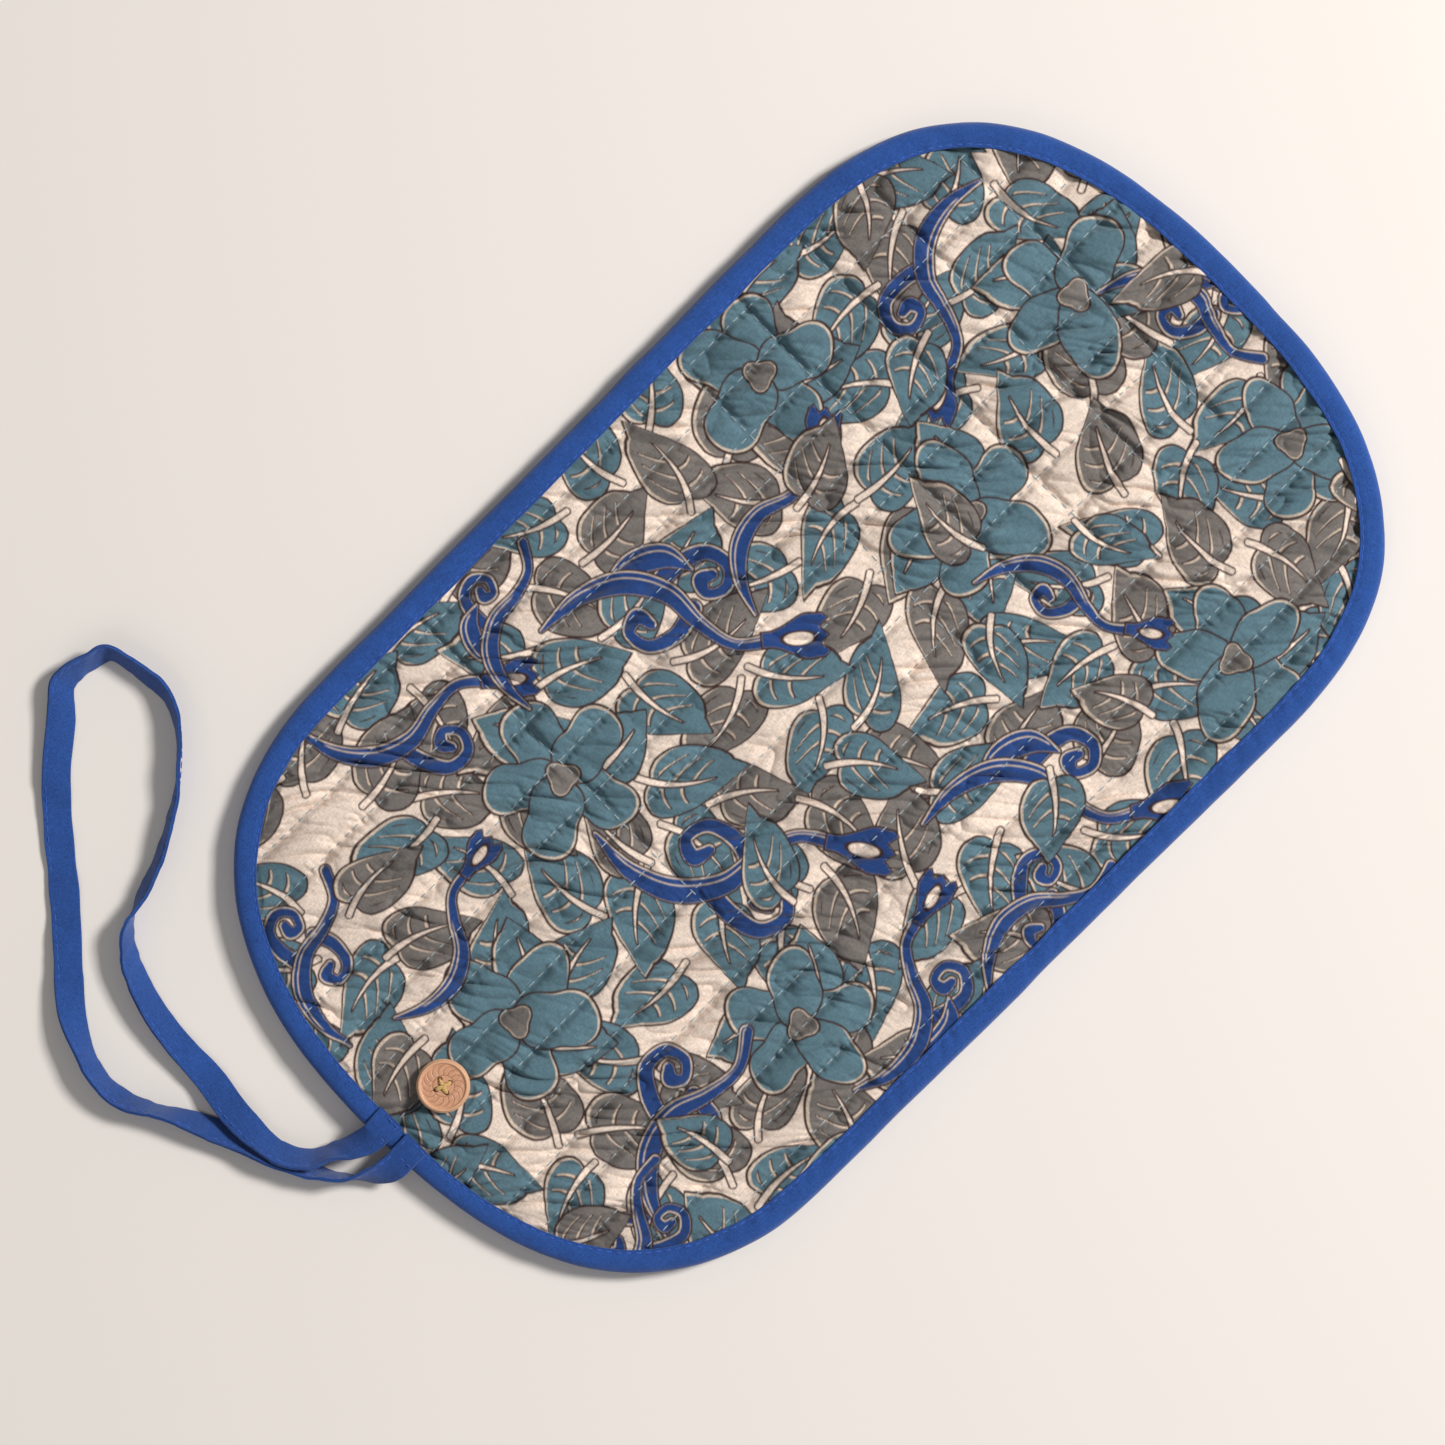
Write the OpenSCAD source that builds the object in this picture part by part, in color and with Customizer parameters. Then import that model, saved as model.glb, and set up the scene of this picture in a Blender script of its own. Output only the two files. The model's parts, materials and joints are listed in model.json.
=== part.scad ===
// Brush roll case: a quilted cloth case with inside pockets, rolled up from its far
// end and held by a strap loop that hooks over a wooden button.
// It lies open and face down: the printed outside is up and the pockets are below.
// The cloth is cut into rigid panels at its fold lines, which run across the case.
// Frame: origin under the middle of the case, +X to the far end, +Y to the pockets'
// closed edge, +Z up.

/* [Case] */
// Length of the open case
case_len = 455; // [435:5:475]
// Width at the button end
near_w = 265; // [255:5:275]
// Width at the far end
far_w = 270; // [260:5:280]
// Length of the rounded stretch at each end
end_round = 110; // [90:5:130]
// Squareness of the button end, where 2 is an ellipse
near_square = 2.47; // [2.2:0.01:2.8]
// Squareness of the far end
far_square = 2.6; // [2.2:0.01:2.8]

/* [Cloth] */
// Thickness of each cloth layer
cloth_t = 0.8; // [0.6:0.1:1]
// Thickness of the wadding in the quilted cover
wadding_t = 3.4; // [3:0.1:4]
// Width of the binding on each face
binding_w = 10; // [8:0.5:12]
// Thickness of the binding round the edge
binding_t = 1.2; // [1:0.1:1.5]

/* [Pockets] */
// Height of the space inside a pocket
pocket_h = 4.2; // [4.2:0.1:5]
// Width of each narrow brush pocket
pocket_w = 32; // [30:1:34]
// Number of narrow pockets, without the one at the far end
narrow_count = 4; // [4]
// Width of the pocket at the far end
end_pocket_w = 43.5; // [40:0.5:46]
// Width of the wide middle pocket
wide_pocket_w = 136; // [126:2:140]
// Place of the pockets' mouths across the case
mouth_y = -30; // [-40:1:-20]
// Thickness of a sewn divider on each side of its fold line
divider_t = 1; // [0.8:0.1:1.4]

/* [Folding] */
// Width of each plain panel between the wide pocket and the button panel
plain_panel_w = 46; // [42:1:48]
// Gap between neighbouring panels
panel_gap = 0.3; // [0.2:0.05:0.5]

/* [Button] */
// Diameter of the button
button_d = 20; // [18:1:22]
// Thickness of the button
button_t = 3.5; // [3:0.1:4.5]
// Width of the raised rim
rim_w = 1.7; // [1.2:0.1:2.2]
// Depth of the dish inside the rim
dish_depth = 0.7; // [0.4:0.1:1]
// Diameter of each thread hole
hole_d = 1.8; // [1.6:0.1:2.2]
// Distance of a thread hole from the middle
hole_r = 2.9; // [2.6:0.1:3.2]
// Turn of the four holes, in degrees
hole_turn = -18; // [-45:1:45]
// Diameter of the sewing thread bundle
thread_d = 1; // [0.8:0.1:1.2]
// Height of the thread shank under the button
shank_h = 1; // [0.8:0.1:1.5]
// Distance of the button from the button end
button_inset = 31.5; // [28:0.5:36]
// Place of the button across the case
button_y = -5.7; // [-8:0.1:-4]

/* [Strap] */
// Width of the strap's solid
strap_w = 10; // [9:0.5:12]
// Thickness of the strap's solid
strap_t = 1.6; // [1.2:0.1:2]
// Length of each sewn end on the binding
tab_len = 10; // [8:0.5:12]
// Place of the first sewn end across the case
tab_a_y = -0.5; // [-1:0.1:0]
// Place of the second sewn end across the case
tab_b_y = -14; // [-15:0.1:-13]

/* [Hidden] */
PANELS = 11;
LAYERS = ["outer_cover", "wadding", "lining", "edge_binding", "pocket_wall"];
function two(n) = n < 10 ? str("0", n) : str(n);
function name(layer, n) = str(layer, "_", two(n));

// Heights of the layers, from the table up
lining_z = cloth_t + pocket_h;
wadding_z = lining_z + cloth_t;
cover_z = wadding_z + wadding_t;
top_z = cover_z + cloth_t;
// Height of the fold axes: the lower face of the lining
fold_z = lining_z;

// Fold lines: between the narrow pockets, twice across the wide pocket, and two
// across the plain stretch. Panel n lies between edges[n - 1] and edges[n].
half_len = case_len / 2;
first_fold = half_len - end_pocket_w;
wide_end = first_fold - narrow_count * pocket_w;
plain_end = wide_end - wide_pocket_w;
edges = [-half_len, plain_end - 2 * plain_panel_w, plain_end - plain_panel_w, plain_end,
    wide_end - 2 * wide_pocket_w / 3, wide_end - wide_pocket_w / 3,
    wide_end, for (i = [narrow_count - 1:-1:0]) first_fold - i * pocket_w, half_len];
// How far each fold closes when the case is rolled, from the button end
fold_angles = [64, 55, 56, 64, 69, 60, 53, 57, 68, 86];
// Fold lines with a sewn divider, from the button end
dividers = [false, false, true, false, false, true, true, true, true, true];

// Half width of the case at x
function half_w(x) = near_w / 4 + far_w / 4 + (far_w - near_w) / 4 * x / half_len;
// One quarter of the outline, set in by d: side is 1 at the far end, -1 at the near one
function end_points(d, side, square) = [for (a = [0:6:90])
    let (x = side * (half_len - end_round + (end_round - d) * pow(cos(a), 2 / square)))
        [x, (half_w(x) - d) * pow(sin(a), 2 / square)]];
function flipped(points) = [for (i = [len(points) - 1:-1:0]) [points[i][0], -points[i][1]]];
function reversed(points) = [for (i = [len(points) - 1:-1:0]) points[i]];
function without_first(points) = [for (i = [1:len(points) - 1]) points[i]];

// The case's outline, set in by d
module outline(d) {
    far = end_points(d, 1, far_square);
    near = end_points(d, -1, near_square);
    polygon(concat(far, reversed(near), without_first(reversed(flipped(near))),
        [for (i = [0:len(far) - 2]) flipped(far)[i]]));
}

// Slant of a panel's side below the fold axis, so that neighbours close without touching
function slant(fold) = fold < 0 || fold >= len(fold_angles) ? 0 : tan(fold_angles[fold] / 2);

// The space of panel n, seen from the side and drawn across the whole case. low_in and
// high_in set its two sides in by a wall's thickness.
module panel_space(n, z0, z1, low_in = 0, high_in = 0) {
    low = edges[n - 1] + (n > 1 ? panel_gap / 2 : -1) + low_in;
    high = edges[n] - (n < PANELS ? panel_gap / 2 : -1) - high_in;
    low_slant = slant(n - 2);
    high_slant = slant(n - 1);
    knee = max(z0, min(z1, fold_z));
    drop0 = max(0, fold_z - z0);
    drop_knee = max(0, fold_z - knee);
    side = concat(
        [[low + low_slant * drop0, z0], [high - high_slant * drop0, z0]],
        knee > z0 ? [[high - high_slant * drop_knee, knee]] : [],
        z1 > knee ? [[high, z1], [low, z1]] : [],
        knee > z0 ? [[low + low_slant * drop_knee, knee]] : []);
    translate([0, far_w, 0]) rotate([90, 0, 0]) linear_extrude(2 * far_w) polygon(side);
}

// A flat layer of panel n
module layer(n, z0, z1, inset) {
    intersection() {
        panel_space(n, z0, z1);
        translate([0, 0, z0]) linear_extrude(z1 - z0) outline(inset);
    }
}

module outer_cover(n) {
    color("CadetBlue") layer(n, cover_z, top_z, binding_w);
}

module wadding(n) {
    color("Ivory") layer(n, wadding_z, cover_z, binding_t);
}

module lining(n) {
    color("SteelBlue") layer(n, lining_z, wadding_z, binding_t);
}

// Binding folded round the edge: a leaf on each face and a side between them
module edge_binding(n) {
    color("RoyalBlue") difference() {
        layer(n, 0, top_z, 0);
        translate([0, 0, -1]) linear_extrude(top_z + 2) outline(binding_w);
        translate([0, 0, cloth_t]) linear_extrude(cover_z - cloth_t) outline(binding_t);
    }
}

// The pocket's face, with half a divider at each fold line that has one
module pocket_wall(n) {
    low_t = n > 1 && dividers[n - 2] ? divider_t : -1;
    high_t = n < PANELS && dividers[n - 1] ? divider_t : -1;
    color("CornflowerBlue") difference() {
        intersection() {
            panel_space(n, 0, lining_z);
            linear_extrude(lining_z) outline(binding_w);
            translate([-case_len, mouth_y, 0]) cube([2 * case_len, far_w, top_z]);
        }
        intersection() {
            panel_space(n, cloth_t, lining_z + 1, low_t, high_t);
            translate([-case_len, mouth_y - 1, cloth_t]) cube([2 * case_len, far_w, top_z]);
        }
    }
}

// The two ends of the loop, sewn side by side on the binding
module loop_tabs() {
    color("RoyalBlue") for (y = [tab_a_y, tab_b_y])
        translate([-half_len, y - strap_w / 2, top_z]) cube([tab_len, strap_w, strap_t]);
}

// Route of the loop: from the first sewn end, down to the table, out along the near
// edge, round past the corner and back under itself to the second sewn end
strap_z = strap_t / 2;
tab_z = top_z + strap_z;
loop_start_x = -half_len - 1.5;
route = [
    [loop_start_x, tab_a_y, tab_z], [-231, tab_a_y, tab_z], [-236, 2, 9.8], [-243, 6, 7.5], [-252, 11, 6],
    [-258, 22, 5.2], [-259, 41, 3.2], [-257, 58, 1.2], [-256, 76, 1], [-253, 93, 1],
    [-248, 107, 1], [-243, 116, 1], [-236, 121, 1], [-226, 124, 1], [-215, 128, 1],
    [-203, 134, 1], [-190, 142, 1], [-177, 153, 1], [-168, 166, 1], [-166, 178, 1],
    [-167, 189, 1], [-172, 198, 1], [-182, 203, 1], [-192, 201, 1], [-202, 192, 1],
    [-217, 179, 1], [-232, 163, 1], [-246, 146, 1], [-260, 130, 1], [-275, 113, 1],
    [-282, 100, 1], [-286, 86, 1], [-285, 75, 1], [-280, 65, 1], [-275, 56, 1],
    [-270, 45, 1], [-265, 33, 1], [-261, 21, 1], [-257, 12, 1.2], [-252, 3, 2.5],
    [-245, -6, 5], [-238, -11.5, 9], [-231, tab_b_y, tab_z],
    [loop_start_x, tab_b_y, tab_z]];
rings_per_span = 2;
// A point on a smooth curve through b and c, t from 0 to 1
function curve(a, b, c, d, t) = 0.5 * (2 * b + (c - a) * t + (2 * a - 5 * b + 4 * c - d) * t * t
    + (3 * b - a - 3 * c + d) * t * t * t);
last = len(route) - 1;
path = [for (i = [0:last - 1]) for (s = [0:rings_per_span - 1])
    curve(route[max(i - 1, 0)], route[i], route[i + 1], route[min(i + 2, last)],
        s / rings_per_span), route[last]];
function unit(v) = v / norm(v);
function heading(i) = unit(path[min(i + 1, len(path) - 1)] - path[max(i - 1, 0)]);
// The flat section at ring i: eight corners, level across the strap
edge_t = strap_t / 4;
bevel = 0.8;
section = [[strap_w / 2, -edge_t], [strap_w / 2, edge_t], [strap_w / 2 - bevel, strap_t / 2],
    [bevel - strap_w / 2, strap_t / 2], [-strap_w / 2, edge_t], [-strap_w / 2, -edge_t],
    [bevel - strap_w / 2, -strap_t / 2], [strap_w / 2 - bevel, -strap_t / 2]];
function ring(i) = let (ahead = heading(i), across = unit(cross(ahead, [0, 0, 1])),
    up = cross(across, ahead)) [for (p = section) path[i] + p[0] * across + p[1] * up];
corners = len(section);
module tie_loop() {
    rings = [for (i = [0:len(path) - 1]) ring(i)];
    skin = [for (i = [0:len(path) - 2]) for (j = [0:corners - 1])
        let (k = (j + 1) % corners, a = i * corners, b = a + corners)
            each [[a + j, a + k, b + k], [a + j, b + k, b + j]]];
    end_base = (len(path) - 1) * corners;
    start_cap = [[for (j = [corners - 1:-1:0]) j]];
    end_cap = [[for (j = [0:corners - 1]) end_base + j]];
    color("RoyalBlue") polyhedron([for (r = rings) each r],
        concat(skin, start_cap, end_cap), convexity = 10);
}

button_x = -half_len + button_inset;
button_z = top_z + shank_h;
module at_button() {
    translate([button_x, button_y, 0]) children();
}
module at_holes() {
    for (a = [0:90:270]) rotate([0, 0, a + hole_turn]) translate([hole_r, 0, 0]) children();
}

// Dished button with a raised rim and four thread holes
module closure_button() {
    color("BurlyWood") at_button() translate([0, 0, button_z]) difference() {
        cylinder(d = button_d, h = button_t, $fn = 96);
        translate([0, 0, button_t - dish_depth])
            cylinder(d = button_d - 2 * rim_w, h = button_t, $fn = 96);
        translate([0, 0, -1]) at_holes() cylinder(d = hole_d, h = button_t + 2, $fn = 24);
    }
}

// Thread: a wound shank, four runs up through the holes and a cross on top
module button_thread() {
    shank_gap = 0.1;
    bar_w = thread_d + 0.4;
    bar_len = 2 * hole_r + 2 * thread_d;
    cross_z = button_z + button_t - dish_depth;
    color("Wheat") at_button() {
        translate([0, 0, top_z + shank_gap])
            cylinder(r = hole_r + thread_d, h = shank_h - shank_gap, $fn = 48);
        translate([0, 0, button_z - shank_gap]) at_holes()
            cylinder(d = thread_d, h = cross_z - button_z + 2 * shank_gap, $fn = 24);
        for (a = [0, 90]) rotate([0, 0, a + hole_turn])
            translate([-bar_len / 2, -bar_w / 2, cross_z]) cube([bar_len, bar_w, thread_d]);
    }
}

for (n = [1:PANELS]) {
    outer_cover(n);
    wadding(n);
    lining(n);
    edge_binding(n);
    pocket_wall(n);
}
loop_tabs();
tie_loop();
closure_button();
button_thread();
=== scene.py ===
"""Looks for the brush roll case: quilted printed cover, bound edges, pockets, strap loop and button.

Lengths are in millimetres in the sums and in metres on the meshes. The case is cut into strips,
one over each fold line, from the middle of one panel to the middle of the next, so that every
cut lies inside a single panel.
"""
import json
import math

import bpy
import numpy as np
from mathutils import Matrix, Vector

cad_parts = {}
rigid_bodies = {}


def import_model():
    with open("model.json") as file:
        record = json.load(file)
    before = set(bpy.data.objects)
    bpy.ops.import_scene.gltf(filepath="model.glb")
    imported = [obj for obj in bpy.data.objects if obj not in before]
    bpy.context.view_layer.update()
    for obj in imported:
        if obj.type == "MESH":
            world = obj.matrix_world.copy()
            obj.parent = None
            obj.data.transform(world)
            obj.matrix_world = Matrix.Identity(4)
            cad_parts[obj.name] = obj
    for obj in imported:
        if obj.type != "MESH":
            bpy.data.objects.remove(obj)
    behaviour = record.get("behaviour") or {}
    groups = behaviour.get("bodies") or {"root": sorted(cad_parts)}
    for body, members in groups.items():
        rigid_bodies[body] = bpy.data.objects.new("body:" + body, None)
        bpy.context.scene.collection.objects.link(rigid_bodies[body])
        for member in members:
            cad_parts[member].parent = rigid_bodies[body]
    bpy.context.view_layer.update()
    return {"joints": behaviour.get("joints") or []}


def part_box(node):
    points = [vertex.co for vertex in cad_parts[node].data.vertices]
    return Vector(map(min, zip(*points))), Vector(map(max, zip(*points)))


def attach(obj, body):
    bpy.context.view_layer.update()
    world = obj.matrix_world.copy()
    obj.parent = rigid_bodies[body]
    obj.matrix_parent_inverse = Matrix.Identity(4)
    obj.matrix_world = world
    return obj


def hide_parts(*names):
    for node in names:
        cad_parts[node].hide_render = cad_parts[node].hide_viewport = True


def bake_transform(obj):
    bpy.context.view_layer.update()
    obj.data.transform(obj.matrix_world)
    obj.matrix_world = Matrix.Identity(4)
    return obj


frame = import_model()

MM = 0.001
scene = bpy.context.scene

# ---------------------------------------------------------------- camera, light, floor

VIEW_CENTRE = (-27.3, 16.4)
VIEW_WIDTH = 537.5
LENS, SENSOR = 100.0, 36.0
camera = bpy.data.objects.new("camera", bpy.data.cameras.new("camera"))
scene.collection.objects.link(camera)
camera.data.lens = LENS
camera.data.sensor_width = SENSOR
camera.data.clip_end = 20
# The top of the picture lies towards +X +Y
right, up = Vector((1, -1, 0)).normalized(), Vector((1, 1, 0)).normalized()
back = right.cross(up)
turn = Matrix((right, up, back)).transposed().to_4x4()
CASE_TOP = 10
view_height = VIEW_WIDTH * LENS / SENSOR + CASE_TOP
camera.matrix_world = Matrix.Translation(Vector((*VIEW_CENTRE, view_height)) * MM) @ turn
scene.camera = camera
scene.view_settings.view_transform = "Standard"


def area_light(name, place, size, power, colour):
    """A square light turned to the middle of the case."""
    light = bpy.data.objects.new(name, bpy.data.lights.new(name, "AREA"))
    scene.collection.objects.link(light)
    light.data.size = size
    light.data.energy = power
    light.data.color = colour
    light.location = place
    light.rotation_euler = (-Vector(place)).to_track_quat("-Z", "Y").to_euler()


area_light("key", (2.0, -0.85, 2.1), 0.65, 103, (1.0, 0.98, 0.955))
area_light("fill", (-1.5, -0.5, 1.5), 1.6, 6.0, (0.95, 0.97, 1.0))
world = bpy.data.worlds.new("studio")
scene.world = world
world.use_nodes = True
background = world.node_tree.nodes["Background"]
background.inputs["Color"].default_value = (1, 0.99, 0.98, 1)
background.inputs["Strength"].default_value = 0.24

# ---------------------------------------------------------------- shape of the case

HALF_LEN = (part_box("edge_binding_11")[1][0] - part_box("edge_binding_01")[0][0]) / 2 / MM
# The outline: half widths at the button end and the far end, the length of each rounded end,
# and the powers of the rounded ends' curves (2 is an ellipse)
NEAR_HALF_W, FAR_HALF_W = 132.5, 135.0
END_ROUND = 110.0
NEAR_SQUARE, FAR_SQUARE = 2.47, 2.6
MOUTH_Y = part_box("pocket_wall_05")[0][1] / MM
BINDING_W = 10.0
FOLD_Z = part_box("lining_05")[0][2] / MM
TOP_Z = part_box("outer_cover_05")[1][2] / MM
BUTTON_LOW, BUTTON_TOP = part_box("closure_button")[0][2] / MM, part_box("closure_button")[1][2] / MM
BUTTON = (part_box("closure_button")[0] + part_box("closure_button")[1]) / 2 / MM
# Where the closed roll's inner layer presses on the cover
PRESSED_X = (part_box("outer_cover_06")[1][0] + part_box("outer_cover_07")[0][0]) / 2 / MM

rolls = [j for j in frame["joints"] if j["name"].startswith("roll_")]
folds = [j["pos_m"][0] / MM for j in rolls]
edges = [-HALF_LEN, *folds, HALF_LEN]
# The cuts: the middle of every panel but the first and the last
cuts = [(edges[i] + edges[i + 1]) / 2 for i in range(1, len(edges) - 2)]
spans = list(zip([-HALF_LEN, *cuts], [*cuts, HALF_LEN]))
# Fold lines that lie on a sewn pocket divider
dividers = [folds[i] for i in (2, 5, 6, 7, 8, 9)]
DIVIDER_END = MOUTH_Y - 3
QUILT_LINES = [119, 102, 85, 68, 49.5, 32, 15, -2.5, -20, -37.5, -54, -69.5, -85, -101, -115.5]


def half_width(x):
    middle, slope = (NEAR_HALF_W + FAR_HALF_W) / 2, (FAR_HALF_W - NEAR_HALF_W) / 2
    return middle + slope * x / HALF_LEN


def edge_y(x, inset=0.0):
    """Half width of the outline at x, set in from the edge. Zero beyond the ends."""
    x = np.asarray(x, float)
    reach = END_ROUND - inset
    beyond = np.clip((np.abs(x) - (HALF_LEN - END_ROUND)) / reach, 0, 1)
    square = np.where(x < 0, NEAR_SQUARE, FAR_SQUARE)
    return (half_width(x) - inset) * (1 - beyond**square) ** (1 / square)


def value_noise(x, y, seed):
    """Smooth noise from -1 to 1, with one lattice point per unit."""
    cells = 61
    lattice = np.random.default_rng(seed).random((cells, cells)) * 2 - 1
    xi, yi = np.floor(x).astype(int), np.floor(y).astype(int)
    fx, fy = x - xi, y - yi
    fx, fy = fx * fx * (3 - 2 * fx), fy * fy * (3 - 2 * fy)

    def at(i, j):
        return lattice[(xi + i) % cells, (yi + j) % cells]

    low = at(0, 0) * (1 - fx) + at(1, 0) * fx
    high = at(0, 1) * (1 - fx) + at(1, 1) * fx
    return low * (1 - fy) + high * fy


def smooth_step(a, b, x):
    t = np.clip((x - a) / (b - a), 0, 1)
    return t * t * (3 - 2 * t)


def bell(x, width):
    """A smooth bump of height 1 about x = 0."""
    return np.exp(-((x / width) ** 2))


def unit(vectors):
    return vectors / np.maximum(np.linalg.norm(vectors, axis=-1, keepdims=True), 1e-12)


def length_along(line):
    """Distance along a line of points, at each point."""
    return np.concatenate([[0], np.cumsum(np.linalg.norm(np.diff(line, axis=0), axis=1))])


def quilt_line_y(j, x):
    """Line j of quilting wanders a little, as hand-guided stitching does."""
    return QUILT_LINES[j] + 0.9 * value_noise(x / 38, np.full_like(x, 3.1 * j), 11)


def divider_x(i, y):
    return dividers[i] + 0.6 * value_noise(y / 30, np.full_like(y, 2.3 * i), 12)


def seam_distances(x, y):
    """Distance to the nearest line of quilting, and to the nearest pocket divider."""
    far_away = 99.0
    quilting = np.full(np.shape(x), far_away)
    for j in range(len(QUILT_LINES)):
        quilting = np.minimum(quilting, np.abs(y - quilt_line_y(j, x)))
    divider = np.full(np.shape(x), far_away)
    past_end = np.maximum(0, DIVIDER_END - y)
    for i in range(len(dividers)):
        divider = np.minimum(divider, np.hypot(x - divider_x(i, y), past_end))
    return quilting, divider


def edge_distance(x, y):
    """About how far a point is inside the outline."""
    b = np.clip((np.abs(x) - (HALF_LEN - END_ROUND)) / END_ROUND, 0, None)
    off_middle = np.maximum(np.abs(y), 3.0)
    square = np.where(x < 0, NEAR_SQUARE, FAR_SQUARE)
    share = ((off_middle / half_width(x)) ** square + b**square) ** (1 / square)
    return np.hypot(b * END_ROUND, off_middle) * (1 / share - 1)


def cover_height(x, y):
    """Height of the quilted cover: puffed channels, sunk seams and the puckers across them."""
    quilting, divider = seam_distances(x, y)
    from_edge = edge_distance(x, y)
    from_button = np.hypot(x - BUTTON[0], y - BUTTON[1])
    # The wadding puffs up between the lines of quilting and is pinched at the dividers
    puff = 3.1 * (0.62 * (1 - bell(quilting, 1.9)) + 0.38 * (1 - bell(quilting, 5.0)))
    seam_pinch = 2.6 * (bell(divider, 1.7) + 0.35 * bell(divider, 6.0))
    # Creases run on the slant, in patches, with sharp valleys between rounded ridges
    warp = 6 * value_noise(x / 37, y / 31, 22)
    along, across = (x - y) * 0.7071, (x + y) * 0.7071 + warp
    patch = smooth_step(-0.5, 0.4, value_noise(x / 23, y / 16, 29))
    billow = np.abs(value_noise(across / 5.6, along / 24, 23)) ** 0.65
    second = np.abs(value_noise((across + 0.25 * along) / 3.1, along / 14, 28)) ** 0.75
    creases = (0.45 + 0.55 * patch) * (5.6 * billow + 1.5 * second) - 2.7
    # Short gathers cross every line of quilting
    grip = np.exp(-quilting / 2.6)
    gathers = np.abs(value_noise((x + 0.3 * warp) / 2.6, y / 8, 24)) - 0.3
    puckers = creases * (0.7 + 0.3 * np.exp(-quilting / 6)) + 1.5 * grip * gathers
    long_folds = 1 - 2 * np.abs(value_noise((x * 0.6 + y * 0.8) / 12, (y * 0.6 - x * 0.8) / 38, 25))
    tugs = 0.35 * bell(divider - 4, 5.0) * value_noise(x / 12, y / 3.4, 26)
    swell = 0.55 * value_noise(x / 62, y / 48, 27)
    edge_fall = 1.2 * np.exp(-np.clip(from_edge - 8, 0, None) / 4)
    dimple = 0.9 * bell(from_button, 6.5)
    pressed = 2.1 * bell(x - PRESSED_X, 16)
    height = TOP_Z - 2.3 + puff - seam_pinch + puckers + 0.6 * long_folds
    height = height + tugs + swell - edge_fall - dimple - pressed
    # No crest stands far above the wadding and no valley reaches the lining
    over = np.clip(height - (TOP_Z + 0.6), 0, None)
    under = np.clip(TOP_Z - 3.2 - height, 0, None)
    height = height - over + 1.1 * np.tanh(over / 1.1) + under - 0.7 * np.tanh(under / 0.7)
    under_tape = TOP_Z - 0.5 + 4 * smooth_step(9, 15, from_edge)
    under_button = BUTTON_LOW - 0.7 + 4 * smooth_step(10.5, 16, from_button)
    return np.minimum(height, np.minimum(under_tape, under_button))


# ---------------------------------------------------------------- meshes from grids


def grid_normals(grid, closed_i=False, closed_j=False):
    """Normals of a surface given as a grid of points, smooth across its own seams."""

    def slope(g, axis, closed):
        if closed:
            return np.roll(g, -1, axis) - np.roll(g, 1, axis)
        return np.gradient(g, axis=axis)

    return unit(np.cross(slope(grid, 0, closed_i), slope(grid, 1, closed_j)))


def grid_quads(rows, columns, closed_j=False, keep=None):
    """Corner indices of a grid's squares, of those whose corners are all kept."""
    i = np.arange(rows - 1)[:, None]
    j = np.arange(columns if closed_j else columns - 1)[None, :]
    k = (j + 1) % columns
    quads = np.stack([i * columns + j, (i + 1) * columns + j, (i + 1) * columns + k, i * columns + k], -1)
    quads = quads.reshape(-1, 4)
    return quads if keep is None else quads[keep.reshape(-1)[quads].all(1)]


def mesh_piece(name, points, faces, material, normals=None, colours=None):
    """A mesh from points in millimetres. Its rest attribute keeps each point's place, for the
    materials."""
    faces = np.asarray(faces)
    used = np.unique(faces)
    new_index = np.full(len(points), -1)
    new_index[used] = np.arange(len(used))
    points, faces = points[used], new_index[faces]
    mesh = bpy.data.meshes.new(name)
    mesh.vertices.add(len(points))
    mesh.vertices.foreach_set("co", (points * MM).ravel())
    corners = faces.shape[1]
    mesh.loops.add(faces.size)
    mesh.loops.foreach_set("vertex_index", faces.ravel())
    mesh.polygons.add(len(faces))
    mesh.polygons.foreach_set("loop_start", np.arange(0, faces.size, corners))
    mesh.update(calc_edges=True)
    mesh.polygons.foreach_set("use_smooth", np.ones(len(faces), bool))
    rest = mesh.attributes.new("rest", "FLOAT_VECTOR", "POINT")
    rest.data.foreach_set("vector", points.ravel())
    if colours is not None:
        layer = mesh.color_attributes.new("print", "FLOAT_COLOR", "POINT")
        rgba = np.concatenate([colours[used], np.ones((len(used), 1))], 1)
        layer.data.foreach_set("color", rgba.ravel())
    mesh.materials.append(material)
    if normals is not None:
        mesh.normals_split_custom_set_from_vertices(normals[used])
    piece = bpy.data.objects.new(name, mesh)
    scene.collection.objects.link(piece)
    return piece


def strip_piece(name, k, points, faces, material, layers=(), normals=None, colours=None):
    """Strip k of a layer, across fold k from panel k + 1 to panel k + 2. It replaces its layers' nodes
    of panel k + 1, and the last strip replaces those of the last panel too."""
    piece = mesh_piece(f"{name}_{k + 1:02d}", points, faces, material, normals, colours)
    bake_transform(piece)
    if layers:
        numbers = [k + 1, k + 2] if k == len(spans) - 1 else [k + 1]
        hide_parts(*(f"{layer}_{n:02d}" for layer in layers for n in numbers))
    return piece


def strip_columns(step):
    """x of the columns of a grid across all strips, and where each strip begins."""
    xs, starts = [-HALF_LEN], [0]
    for a, b in spans:
        n = max(1, round((b - a) / step))
        xs += list(np.linspace(a, b, n + 1)[1:])
        starts.append(len(xs) - 1)
    return np.array(xs), starts


# ---------------------------------------------------------------- materials


def linear(r, g, b):
    """Linear colour from an sRGB one with values from 0 to 255."""
    c = np.array([r, g, b]) / 255
    return np.where(c <= 0.04045, c / 12.92, ((c + 0.055) / 1.055) ** 2.4)


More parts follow.
